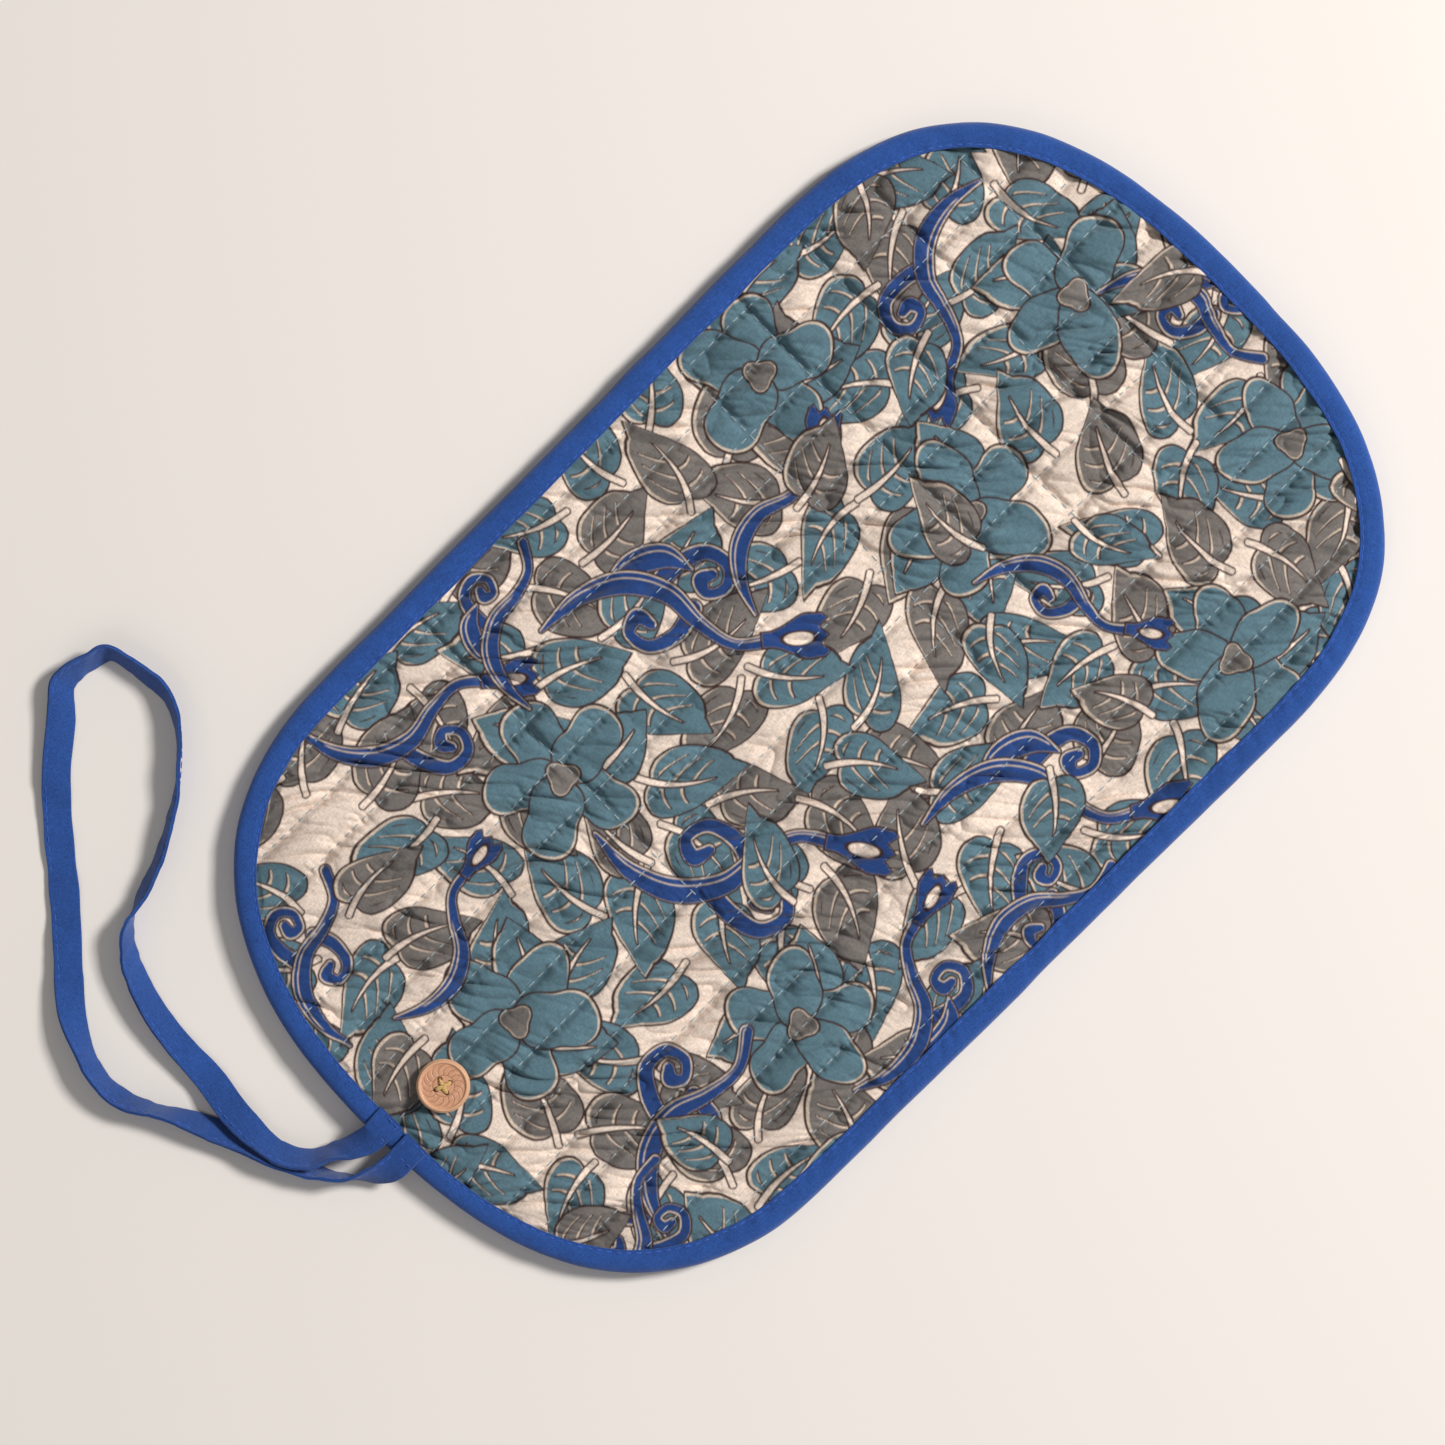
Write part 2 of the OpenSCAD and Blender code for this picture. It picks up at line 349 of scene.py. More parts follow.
class Shader:
    """A material's node tree, with short calls for the nodes used here."""

    def __init__(self, name, roughness, sheen=0.0, specular=0.3):
        self.material = bpy.data.materials.new(name)
        self.material.use_nodes = True
        self.tree = self.material.node_tree
        self.bsdf = self.tree.nodes["Principled BSDF"]
        self.bsdf.inputs["Roughness"].default_value = roughness
        self.bsdf.inputs["Sheen Weight"].default_value = sheen
        self.bsdf.inputs["Sheen Roughness"].default_value = 0.5
        self.bsdf.inputs["Specular IOR Level"].default_value = specular

    def node(self, kind, settings=None, **inputs):
        node = self.tree.nodes.new(kind)
        for key, value in (settings or {}).items():
            setattr(node, key, value)
        for key, value in inputs.items():
            self.put(node.inputs[key.replace("_", " ")], value)
        return node

    def put(self, socket, value):
        if isinstance(value, bpy.types.NodeSocket):
            self.tree.links.new(value, socket)
        else:
            socket.default_value = value

    def attribute(self, name, output="Vector"):
        return self.node("ShaderNodeAttribute", {"attribute_name": name}).outputs[output]

    def mapped(self, vector, scale, turn=0.0):
        node = self.node("ShaderNodeMapping", Vector=vector, Scale=scale, Rotation=(0, 0, turn))
        return node.outputs["Vector"]

    def noise(self, vector, scale, detail=2.0, rough=0.5):
        node = self.node("ShaderNodeTexNoise", Vector=vector, Scale=scale, Detail=detail, Roughness=rough)
        return node.outputs["Fac"]

    def wave(self, vector, direction, pitch, **shape):
        """Sine bands, each as wide as the pitch in millimetres."""
        node = self.node("ShaderNodeTexWave", {"bands_direction": direction}, Vector=vector,
                         Scale=0.314 / pitch, **shape)
        return node.outputs["Fac"]

    def math(self, operation, a, b=0.0):
        node = self.node("ShaderNodeMath", {"operation": operation})
        self.put(node.inputs[0], a)
        self.put(node.inputs[1], b)
        return node.outputs[0]

    def spread(self, value, low, high, to_low, to_high):
        node = self.node("ShaderNodeMapRange", Value=value)
        for key, number in zip(("From Min", "From Max", "To Min", "To Max"), (low, high, to_low, to_high)):
            node.inputs[key].default_value = number
        return node.outputs["Result"]

    def mix(self, factor, a, b, blend="MIX"):
        node = self.node("ShaderNodeMix", {"data_type": "RGBA", "blend_type": blend})
        for socket, value in zip((node.inputs[0], node.inputs[6], node.inputs[7]), (factor, a, b)):
            self.put(socket, value)
        return node.outputs[2]

    def bump(self, height, distance, strength=1.0):
        node = self.node("ShaderNodeBump", Height=height, Distance=distance, Strength=strength)
        self.tree.links.new(node.outputs["Normal"], self.bsdf.inputs["Normal"])


def cloth(name, colour=None, dark=0.55, light=1.3, turn=0.0, pitch=0.5, sheen=0.2, fleck=0.35):
    """Woven cotton: uneven warp and weft yarns, flecks of light and dark, and a raised weave."""
    s = Shader(name, roughness=0.92, sheen=sheen, specular=0.2)
    rest = s.attribute("rest")
    warp, weft = (s.noise(s.mapped(rest, scale, turn), 1.3, 2.0, 0.6)
                  for scale in ((0.35, 1.0 / pitch, 0.4), (1.0 / pitch, 0.35, 0.4)))
    yarns = s.math("MULTIPLY", s.math("ADD", warp, weft), 0.5)
    shade = s.spread(yarns, 0.36, 0.64, 0.0, 1.0)
    specks = s.spread(s.noise(rest, 2.4, 3.0, 0.75), 0.36, 0.64, 0, 1)
    tone = s.math("ADD", s.math("MULTIPLY", shade, 1 - fleck), s.math("MULTIPLY", specks, fleck))
    broad = s.spread(s.noise(rest, 0.035, 2.0), 0.3, 0.7, 0.9, 1.1)
    base = s.attribute("print", "Color") if colour is None else (*colour, 1)
    grey = s.spread(tone, 0, 1, dark, light)
    factor = s.math("MULTIPLY", grey, broad)
    tint = s.node("ShaderNodeCombineColor", Red=factor, Green=factor, Blue=factor).outputs[0]
    s.put(s.bsdf.inputs["Base Color"], s.mix(1.0, base, tint, "MULTIPLY"))
    over, under = (s.wave(s.mapped(rest, (1, 1, 1), turn), direction, pitch, Distortion=0.6, Detail=1.0)
                   for direction in "XY")
    weave = s.math("ADD", s.math("MULTIPLY", over, under), s.math("MULTIPLY", tone, 0.8))
    s.bump(weave, 0.00012, 0.8)
    return s.material


TEAL, TAUPE = linear(88, 118, 130), linear(116, 110, 106)
CREAM, BROWN = linear(234, 215, 200), linear(58, 36, 34)
PALE, BLUE = linear(208, 190, 172), linear(32, 64, 122)
ROYAL = linear(38, 79, 152)
ROYAL_TAPE = {"dark": 0.5, "light": 1.45, "pitch": 0.4, "sheen": 0.25, "fleck": 0.6}
print_cloth = cloth("printed_cotton", None, dark=0.62, light=1.32, fleck=0.42)
binding_cloth = cloth("binding_cotton", ROYAL, turn=math.pi / 4, **ROYAL_TAPE)
strap_cloth = cloth("strap_cotton", linear(37, 75, 144), **ROYAL_TAPE)
lining_cloth = cloth("lining_cotton", linear(46, 72, 122), dark=0.8, light=1.2, pitch=0.45)
pocket_cloth = cloth("pocket_cotton", linear(52, 82, 138), dark=0.8, light=1.2, pitch=0.45)


def thread_material(name, colour, pitch):
    """Twisted thread, with painted shade: darker in the lay of the strands, lighter on them."""
    s = Shader(name, roughness=0.7, sheen=0.2, specular=0.3)
    rest = s.attribute("rest")
    lay = s.wave(rest, "DIAGONAL", pitch, Distortion=0.3)
    fuzz = s.noise(rest, 3.0, 2.0)
    tone = s.spread(s.math("ADD", lay, fuzz), 0.3, 1.5, 0.0, 1.0)
    # Painted shade: the lay of the strands and the fuzz run the colour from 0.62 to 1.1 of its own
    s.put(s.bsdf.inputs["Base Color"], s.mix(tone, (*(colour * 0.62), 1), (*(colour * 1.1), 1)))
    s.bump(lay, 0.00008, 0.6)
    return s.material


quilt_thread = thread_material("quilting_thread", linear(158, 172, 178), 0.5)
blue_thread = thread_material("blue_thread", linear(58, 98, 196), 0.5)
button_thread = thread_material("button_thread", linear(214, 178, 112), 0.6)

floor_shader = Shader("table", roughness=0.95, specular=0.1)
floor_shader.bsdf.inputs["Base Color"].default_value = (*linear(232, 226, 220), 1)
floor = bpy.data.objects.new("table", bpy.data.meshes.new("table"))
FAR = 9
floor.data.from_pydata([(-FAR, -FAR, 0), (FAR, -FAR, 0), (FAR, FAR, 0), (-FAR, FAR, 0)], [], [(0, 1, 2, 3)])
floor.data.materials.append(floor_shader.material)
scene.collection.objects.link(floor)

# ---------------------------------------------------------------- the printed pattern

PRINT_STEP = 0.25
PRINT_MARGIN = 3
CATMULL = np.array([[0, 2, 0, 0], [-1, 0, 1, 0], [2, -5, 4, -1], [-1, 3, -3, 1]]) / 2


def through(points, per_span):
    """A smooth line through given points."""
    p = np.asarray(points, float)
    p = np.concatenate([p[:1], p, p[-1:]])
    t = np.arange(per_span) / per_span
    powers = np.stack([t**0, t, t**2, t**3], 1) @ CATMULL
    line = [powers @ p[i:i + 4] for i in range(len(p) - 3)]
    return np.concatenate([*line, p[-1:]])


class Canvas:
    """The cover's print, painted motif by motif on a fine grid of colours."""

    def __init__(self):
        self.x = np.arange(-HALF_LEN - PRINT_MARGIN, HALF_LEN + PRINT_MARGIN, PRINT_STEP)
        self.y = np.arange(-FAR_HALF_W - PRINT_MARGIN, FAR_HALF_W + PRINT_MARGIN, PRINT_STEP)
        self.rgb = np.tile(CREAM, (len(self.x), len(self.y), 1))

    def window(self, low, high):
        """The part of the grid between two corners: its slices, and x and y of its points."""
        cut = []
        for axis, a, b in ((self.x, low[0], high[0]), (self.y, low[1], high[1])):
            cut.append(slice(*np.clip([(a - axis[0]) / PRINT_STEP, (b - axis[0]) / PRINT_STEP],
                                      0, len(axis)).astype(int)))
        x, y = np.meshgrid(self.x[cut[0]], self.y[cut[1]], indexing="ij")
        return tuple(cut), x, y

    def about(self, place, reach):
        return self.window((place[0] - reach, place[1] - reach), (place[0] + reach, place[1] + reach))

    def paint(self, cut, depth, colour):
        """Colours where depth, the distance inside a shape's edge, is above 0."""
        cover = np.clip(depth / 0.3 + 0.5, 0, 1)[..., None]
        self.rgb[cut] = self.rgb[cut] * (1 - cover) + colour * cover

    def at(self, x, y):
        """The print's colour at any point, blended between the four nearest."""
        fx, fy = (x - self.x[0]) / PRINT_STEP, (y - self.y[0]) / PRINT_STEP
        i = np.clip(fx.astype(int), 0, len(self.x) - 2)
        j = np.clip(fy.astype(int), 0, len(self.y) - 2)
        u, v = (fx - i)[..., None], (fy - j)[..., None]
        near = self.rgb[i, j] * (1 - u) + self.rgb[i + 1, j] * u
        far = self.rgb[i, j + 1] * (1 - u) + self.rgb[i + 1, j + 1] * u
        return near * (1 - v) + far * v


canvas = Canvas()
rng = np.random.default_rng(7)
# Outline of a heart-shaped leaf: angle from its tip and distance from its middle
LEAF_ANGLES = [0, 0.16, 0.36, 0.7, 1.2, 1.6, 2.1, 2.55, 2.85, 3.1416]
LEAF_RADII = [0.62, 0.53, 0.45, 0.41, 0.40, 0.41, 0.43, 0.42, 0.38, 0.32]


def local(x, y, place, angle):
    """x and y along and across a motif that stands at a place and points at an angle."""
    dx, dy = x - place[0], y - place[1]
    return dx * math.cos(angle) + dy * math.sin(angle), dy * math.cos(angle) - dx * math.sin(angle)


def outlined(cut, depth, fill, margin):
    """A shape with a dark outline and a pale rim, margin wide, round its fill."""
    canvas.paint(cut, depth + 0.45, BROWN)
    canvas.paint(cut, depth - 0.42, PALE)
    canvas.paint(cut, depth - 0.42 - margin, fill)


def leaf(place, angle, size, fill, bend, veins=3):
    """A heart-shaped leaf from its base, with a curved rib that runs out into a short stem."""
    middle = (place[0] + 0.3 * size * math.cos(angle), place[1] + 0.3 * size * math.sin(angle))
    cut, x, y = canvas.about(middle, size * 0.98)
    if x.size == 0:
        return
    p, q = local(x, y, place, angle)
    q = q - bend * p * np.abs(p) / size + 0.25 * bend * size
    from_rib, side = np.abs(q), np.sign(q)
    from_centre = p - 0.42 * size
    around = np.arctan2(from_rib, from_centre)
    fat = 1 + 0.09 * side * np.sign(bend) * np.sin(around) + 0.015 * np.cos(5 * around + size)
    radius = size * np.interp(around, LEAF_ANGLES, LEAF_RADII) * fat
    depth = (radius - np.hypot(from_centre, q)) * 0.92
    # The fill is printed a little off its outline, so one side keeps a wider pale rim
    slip = np.cos(np.arctan2(y - middle[1], x - middle[0]) - 2.4 - 0.5 * math.sin(size * 9))
    outlined(cut, depth, fill, 1.15 * np.clip(slip, 0, 1) - 0.12)
    to_tip = 0.74 * size - p
    rib = 1.08 * np.clip(to_tip / (0.62 * size), 0, 1) ** 0.8
    for i in range(veins):
        for flank in (-1, 1):
            start = size * (0.07 + 0.20 * i + 0.05 * flank)
            curve = start + 0.10 * from_rib + 0.065 * from_rib**2 * (28 / size)
            room = np.minimum(depth - 0.10 * size, from_rib - rib - 1.0)
            room = np.where(side == flank, room, -1.0)
            thick = 0.44 * np.clip(1.15 - from_rib / (0.42 * size), 0.45, 1)
            shadow = thick + 0.34 - np.abs(p - curve - 0.25) * 0.85
            canvas.paint(cut, np.minimum(shadow, room + 0.3), BROWN * 1.15)
            canvas.paint(cut, np.minimum(thick - np.abs(p - curve) * 0.85, room), PALE)
    along = np.minimum(p + 0.09 * size - 0.35 * q * q, to_tip)
    canvas.paint(cut, np.minimum(rib + 0.66 - from_rib, along + 0.6), BROWN)
    canvas.paint(cut, np.minimum(rib - 0.02 - from_rib, along), CREAM)


def flower(place, angle, size, seed):
    """Five overlapping petals round a three-sided middle, with two plain leaves behind."""
    turns = np.random.default_rng(seed)
    cut, x, y = canvas.about(place, size)
    for i in (0, 2):
        a = angle + 2.2 * i
        base = (place[0] + 0.2 * size * math.cos(a), place[1] + 0.2 * size * math.sin(a))
        leaf(base, a + 0.5, 0.5 * size, TEAL, 0.2, veins=0)
    for i in (0, 3, 1, 4, 2):
        a = angle + i * 2 * math.pi / 5 + turns.uniform(-0.12, 0.12)
        p, q = local(x, y, place, a)
        from_centre = p - 0.27 * size
        stretch = turns.uniform(0.92, 1.08)
        around = np.arctan2(q, from_centre)
        ruffle = 0.028 * np.cos(2 * around) + 0.012 * np.sin(4 * around + turns.uniform(0, 6))
        radius = size * (0.205 * stretch + ruffle)
        depth = radius - np.hypot(from_centre * 0.82, q)
        outlined(cut, depth, TEAL, 0.95 * np.clip(np.sin(around + 1), 0, 1) - 0.12)
    p, q = local(x, y, place, angle)
    middle = size * (0.105 + 0.018 * np.sin(3 * np.arctan2(q, p) + seed)) - np.hypot(p, q)
    outlined(cut, middle, TAUPE, 0.35)


def ribbon(line, widths, inner_line=True):
    """A stem or tendril along a line, with its half width at each given point."""
    points = through(np.column_stack([line, widths]), 8)
    margin = 7
    cut, x, y = canvas.window(points[:, :2].min(0) - margin, points[:, :2].max(0) + margin)
    if x.size == 0:
        return
    nearest, width, side = np.full(x.shape, 1e9), np.zeros(x.shape), np.zeros(x.shape)
    for a, b in zip(points, points[1:]):
        step = b[:2] - a[:2]
        long = max(step @ step, 1e-9)
        t = np.clip(((x - a[0]) * step[0] + (y - a[1]) * step[1]) / long, 0, 1)
        dx, dy = x - a[0] - t * step[0], y - a[1] - t * step[1]
        far = np.hypot(dx, dy)
        closer = far < nearest
        nearest = np.where(closer, far, nearest)
        width = np.where(closer, a[2] + t * (b[2] - a[2]), width)
        side = np.where(closer, np.sign(step[0] * dy - step[1] * dx), side)
    depth = width - nearest
    canvas.paint(cut, depth + 0.95, BROWN)
    canvas.paint(cut, depth + 0.25, PALE)
    canvas.paint(cut, depth + 0.15 - 0.45 * (side > 0), BLUE)
    if inner_line:
        mark = 0.26 - np.abs(side * nearest - 0.42 * width)
        canvas.paint(cut, np.minimum(mark, width - 1.9), PALE * 0.9)


def tulip(place, angle, size):
    """The toothed bell at the end of a vine, with an eye-shaped window."""
    cut, x, y = canvas.about(place, 1.6 * size)
    if x.size == 0:
        return
    p, q = local(x, y, place, angle)
    half = size * (0.13 + 0.30 * smooth_step(-0.1, 0.75, p / size) - 0.05 * smooth_step(0.5, 0.8, p / size))
    teeth = 0.16 * size * np.abs((q / (0.15 * size)) % 2 - 1)
    depth = np.minimum(np.minimum(half - np.abs(q), 0.82 * size + teeth - p), p + 0.2 * size)
    outlined(cut, depth + 0.3, BLUE, 0.0)
    eye = 0.12 * size - np.hypot((p - 0.45 * size) * 0.42, q + 0.03 * size * np.sin(3 * p / size))
    canvas.paint(cut, eye + 0.5, BROWN)
    canvas.paint(cut, eye - 0.2, CREAM)


# The parts of a scrolling vine in its own frame, in the order they are painted: two curling
# tendrils, a pointed sheath and the stem. Each has its line, its half widths and whether it
# carries an inner line.
STEM = [(-44, -7), (-31, 4), (-15, 9), (1, 5), (12, -6), (24, -14), (38, -13)]
VINE_PARTS = {
    "C": ([(-4, 7), (5, 15), (15, 19), (23, 14), (22, 6), (15, 4), (13, 9), (17, 11)],
          [2.8, 3.0, 2.5, 2.1, 1.8, 1.7, 2.7, 1.8], False),
    "H": ([(10, -1), (4, -10), (-6, -14), (-13, -9), (-10, -3), (-5, -6)],
          [2.9, 2.6, 2.1, 1.8, 2.7, 1.6], False),
    "L": ([(-22, 6), (-12, 15), (0, 18), (10, 13)], [0.3, 3.9, 4.1, 0.3], True),
    "S": (STEM, [0.4, 2.6, 3.9, 3.4, 2.4, 1.8, 2.2], True)}


def vine(place, angle, size, flip, parts):
    """A vine of the named parts. T adds a tulip at the stem's end."""
    c, s = math.cos(angle), math.sin(angle)

    def put(points):
        p = np.array(points, float) * size * (1, flip)
        return np.column_stack([place[0] + p[:, 0] * c - p[:, 1] * s, place[1] + p[:, 0] * s + p[:, 1] * c])

    for key, (line, widths, inner_line) in VINE_PARTS.items():
        if key in parts:
            ribbon(put(line), np.array(widths) * size, inner_line)
    if "T" in parts:
        end = put(STEM)
        tulip(end[-1], math.atan2(*(end[-1] - end[-2])[::-1]), 20 * size)


def scatter_leaves(spacing, sizes, offset, share, taupe_share):
    """Leaves on a loose triangular grid, each turned its own way."""
    outside = 10
    columns, rows = int(2 * HALF_LEN / spacing) + 3, int(2 * FAR_HALF_W / (0.87 * spacing)) + 3
    spots = [(i, j) for i in range(columns) for j in range(rows)]
    for n in rng.permutation(len(spots)):
        i, j = spots[n]
        jitter = rng.uniform(-0.12, 0.12, 2) * spacing
        place = (-HALF_LEN - outside + (i + 0.5 * (j % 2)) * spacing + offset[0] + jitter[0],
                 -FAR_HALF_W - outside + j * 0.87 * spacing + offset[1] + jitter[1])
        angle, size = rng.uniform(0, 2 * math.pi), rng.uniform(*sizes)
        shade, bend = rng.random(), rng.choice([-1, 1]) * rng.uniform(0.25, 0.6)
        if rng.random() < share:
            base = (place[0] - 0.4 * size * math.cos(angle), place[1] - 0.4 * size * math.sin(angle))
            leaf(base, angle, size, TAUPE if shade < taupe_share else TEAL, bend)


scatter_leaves(30.5, (31, 36), (0, 0), 0.94, 0.40)
for place, angle, size in (((-160, -8), 0.4, 56), ((-84, 44), 1.3, 58), ((-86, -84), 2.2, 54),
                           ((74, 98), 0.9, 56), ((92, 6), 2.7, 58), ((178, 36), 1.8, 56),
                           ((196, -60), 0.2, 52), ((124, -102), 1.1, 54)):
    flower(place, angle, size, int(place[0]) % 97)
for place, angle, size, flip, parts in (
        ((-12, 62), -0.75, 1.05, 1, "SCHTL"), ((-66, -22), -0.9, 1.1, -1, "SCHT"),
        ((38, -84), -0.65, 1.0, 1, "SCTL"), ((-142, -78), 0.5, 1.0, 1, "SCH"),
        ((146, 76), -2.6, 0.9, -1, "SCT"), ((206, 2), -1.1, 0.8, 1, "SCHL"),
        ((-196, 62), 1.0, 0.8, 1, "SCH"), ((-112, 98), -0.6, 0.9, -1, "STC"),
        ((-58, 100), 0.9, 0.75, 1, "SCL"), ((98, -38), -1.0, 0.75, 1, "STH"),
        ((-158, 28), 0.25, 0.75, -1, "ST"), ((-52, -108), 0.35, 0.85, -1, "STCL"),
        ((6, -116), 0.1, 0.8, 1, "SCH"), ((-186, -96), 0.2, 0.75, -1, "SCH"),
        ((38, 58), 0.5, 0.8, 1, "ST")):
    vine(place, angle, size, flip, parts)
scatter_leaves(57, (27, 32), (12, 9), 0.35, 0.45)

# ---------------------------------------------------------------- quilted cover

GRID = 0.42
xs, starts = strip_columns(GRID)
ys = np.arange(-FAR_HALF_W, FAR_HALF_W + GRID, GRID)
gx, gy = np.meshgrid(xs, ys, indexing="ij")
cover_grid = np.stack([gx, gy, cover_height(gx, gy)], -1)
cover_normals = grid_normals(cover_grid)
cover_colours = canvas.at(gx, gy)
UNDER_BINDING = 3.0
cover_kept = np.abs(gy) < edge_y(gx, UNDER_BINDING)
for k in range(len(spans)):
    part = slice(starts[k], starts[k + 1] + 1)
    grid = cover_grid[part]
    quads = grid_quads(*grid.shape[:2], keep=cover_kept[part])
    cover = strip_piece("quilted_cover", k, grid.reshape(-1, 3), quads, print_cloth,
                        ("outer_cover", "wadding"), cover_normals[part].reshape(-1, 3),
                        cover_colours[part].reshape(-1, 3))

# ---------------------------------------------------------------- stitches

RINGS, SIDES = 7, 6
MACHINE_STITCH = {"dash": 2.6, "gap": 1.1}
DOWN = (0, 0, -1)


def dashes(line, lift, dash=3.5, gap=1.5, radius=0.24, up=(0, 0, 1), sink=0.45):
    """Stitches along a line of points: each is a short round thread whose ends dive into the cloth."""
    line = np.asarray(line, float)
    along = length_along(line)
    count = int((along[-1] - gap) / (dash + gap))
    if count < 1:
        return np.zeros((0, RINGS, SIDES, 3))
    begin = gap / 2 + (dash + gap) * np.arange(count)
    t = np.linspace(0, 1, RINGS)
    at = begin[:, None] + dash * t[None, :]
    centre = np.stack([np.interp(at, along, line[:, c]) for c in range(3)], -1)
    up = np.array(up, float)
    centre += up * (lift - sink * (np.abs(2 * t - 1) ** 3))[None, :, None]
    ahead = unit(np.gradient(centre, axis=1))
    across = unit(np.cross(ahead, up))
    over = np.cross(across, ahead)
    turns = np.arange(SIDES) * 2 * math.pi / SIDES
    thick = radius * np.sqrt(np.clip(1 - 0.75 * (2 * t - 1) ** 6, 0.2, 1))
    ring = (np.cos(turns)[None, None, :, None] * across[:, :, None] +
            np.sin(turns)[None, None, :, None] * over[:, :, None])
    return centre[:, :, None] + ring * thick[None, :, None, None]


def dash_faces(rings):
    """Faces of many stitches, each closed at both ends."""
    quads = grid_quads(RINGS, SIDES, closed_j=True)[:, ::-1]
    first, last = np.arange(SIDES), np.arange(SIDES) + (RINGS - 1) * SIDES
    caps = np.array([first[:4], first[[0, 3, 4, 5]], last[[3, 2, 1, 0]], last[[5, 4, 3, 0]]])
    each = np.concatenate([quads, caps])
    return (each[None] + RINGS * SIDES * np.arange(len(rings))[:, None, None]).reshape(-1, 4)


def strip_stitches(name, rows, material):
    """Shares rows of stitches out to the strips by where each stitch's middle lies."""
    rings = np.concatenate(rows)
    strip = np.searchsorted(cuts, rings.mean((1, 2))[:, 0])
    for k in range(len(spans)):
        mine = rings[strip == k]
        if len(mine):
            strip_piece(name, k, mine.reshape(-1, 3), dash_faces(mine), material)


def on_surface(height, x, y, inset, *limits):
    """The points of a seam that lie inside the outline and within the limits, on a surface."""
    inside = np.abs(y) < edge_y(x, inset)
    for limit in limits:
        inside &= limit
    x, y = x[inside], y[inside]
    return np.stack([x, y, height(x, y)], -1)


SEAM_STEP = 0.5
seam_x = np.arange(-HALF_LEN, HALF_LEN, SEAM_STEP)
divider_y = np.arange(DIVIDER_END, FAR_HALF_W, SEAM_STEP)
quilting = [dashes(on_surface(cover_height, seam_x, quilt_line_y(j, seam_x), BINDING_W - 1), 0.12)
            for j in range(len(QUILT_LINES))]
quilting += [dashes(on_surface(cover_height, divider_x(i, divider_y), divider_y, BINDING_W - 1), 0.10)
             for i in range(len(dividers))]
strip_stitches("quilting_thread", quilting, quilt_thread)

# ---------------------------------------------------------------- edge binding

# Section of the folded tape: distance in from the case's edge and height, from the inner
# edge on the outside, round the case's edge and back inside the fold
TAPE = [(10.1, 9.75), (10.1, 10.25), (9.7, 10.42), (9.1, 10.22), (8.6, 10.20), (8.0, 10.50), (6.8, 10.62),
        (5.2, 10.66), (3.6, 10.58), (2.3, 10.35), (1.2, 9.8), (0.45, 8.7), (0.05, 7.0), (0.0, 5.0),
        (0.3, 3.0), (1.0, 1.4), (2.3, 0.5), (4.2, 0.2), (6.2, 0.1), (8.2, 0.1), (9.8, 0.15),
        (10.1, 0.5), (9.8, 0.8), (6.0, 0.9), (3.0, 1.4), (1.5, 2.8), (1.0, 5.0), (1.4, 7.4),
        (2.8, 9.1), (5.0, 9.7), (8.0, 9.6)]
TAPE_OUTER = 21


def edge_line(step):
    """The case's outline as a closed line of points, with a point at each cut, both ways from
    the button end. Returns the points and the index of each cut on the +Y side."""
    a = np.radians(np.linspace(0, 90, 500))

    def quarter(side, square):
        x = side * (HALF_LEN - END_ROUND + END_ROUND * np.cos(a) ** (2 / square))
        return np.stack([x, half_width(x) * np.sin(a) ** (2 / square)], -1)

    side_line = np.concatenate([quarter(-1, NEAR_SQUARE), quarter(1, FAR_SQUARE)[::-1]])
    along = length_along(side_line)
    marks = [0, *np.interp(cuts, side_line[:, 0], along), along[-1]]
    at, index = [0.0], [0]
    for low, high in zip(marks, marks[1:]):
        at += list(np.linspace(low, high, max(2, round((high - low) / step)) + 1)[1:])
        index.append(len(at) - 1)
    top = np.stack([np.interp(at, along, side_line[:, 0]), np.interp(at, along, side_line[:, 1])], -1)
    top[0, 1] = top[-1, 1] = 0
    return np.concatenate([top, top[-2:0:-1] * (1, -1)]), index


rim, rim_cuts = edge_line(1.2)
around = len(rim)
rim_ahead = unit(np.roll(rim, -1, 0) - np.roll(rim, 1, 0))
inward = np.stack([rim_ahead[:, 1], -rim_ahead[:, 0]], -1)
rim_length = length_along(np.concatenate([rim, rim[:1]]))[-1]


def rim_noise(scale, seed, across=0.0):
    """Noise along the rim that closes on itself, in cells of the given length."""
    turn = 2 * math.pi * np.arange(around) / around
    radius, middle = rim_length / (2 * math.pi * scale), 30.5
    return value_noise(np.cos(turn) * radius + middle + across, np.sin(turn) * radius + middle, seed)


tape_grid = np.zeros((around, len(TAPE), 3))
# The tape is narrower round the button end
narrow = 1 - 0.13 * smooth_step(-150, -215, rim[:, 0]) - 0.05 * np.clip(rim_noise(60, 31), 0, 1)
for j, (inset, z) in enumerate(TAPE):
    leaf_part = smooth_step(3, 8, inset)
    set_in = inset * (1 + (narrow - 1) * leaf_part) + 0.35 * leaf_part * rim_noise(14, 32)
    outer = 1.0 if j < TAPE_OUTER else 0.35
    wave = outer * (0.35 * rim_noise(22, 33, 0.02 * inset) + 0.30 * rim_noise(6, 34, 0.10 * inset))
    tug = outer * 0.34 * leaf_part * rim_noise(2.8, 35, 0.14 * inset)
    tape_grid[:, j, :2] = rim + inward * (set_in + (1 - leaf_part) * 0.3 * rim_noise(16, 36))[:, None]
    tape_grid[:, j, 2] = np.maximum(0.05, z + (wave + tug) * smooth_step(0, 3, z))
tape_normals = grid_normals(tape_grid, closed_i=True, closed_j=True)


def rim_parts(k):
    """Index runs of strip k along the closed rim: one round each end, two along the sides."""
    low, high = rim_cuts[k], rim_cuts[k + 1]
    if k == 0:
        return [np.arange(-high, high + 1) % around]
    if k == len(spans) - 1:
        return [np.arange(low, around - low + 1)]
    return [np.arange(low, high + 1), np.arange(around - high, around - low + 1)]


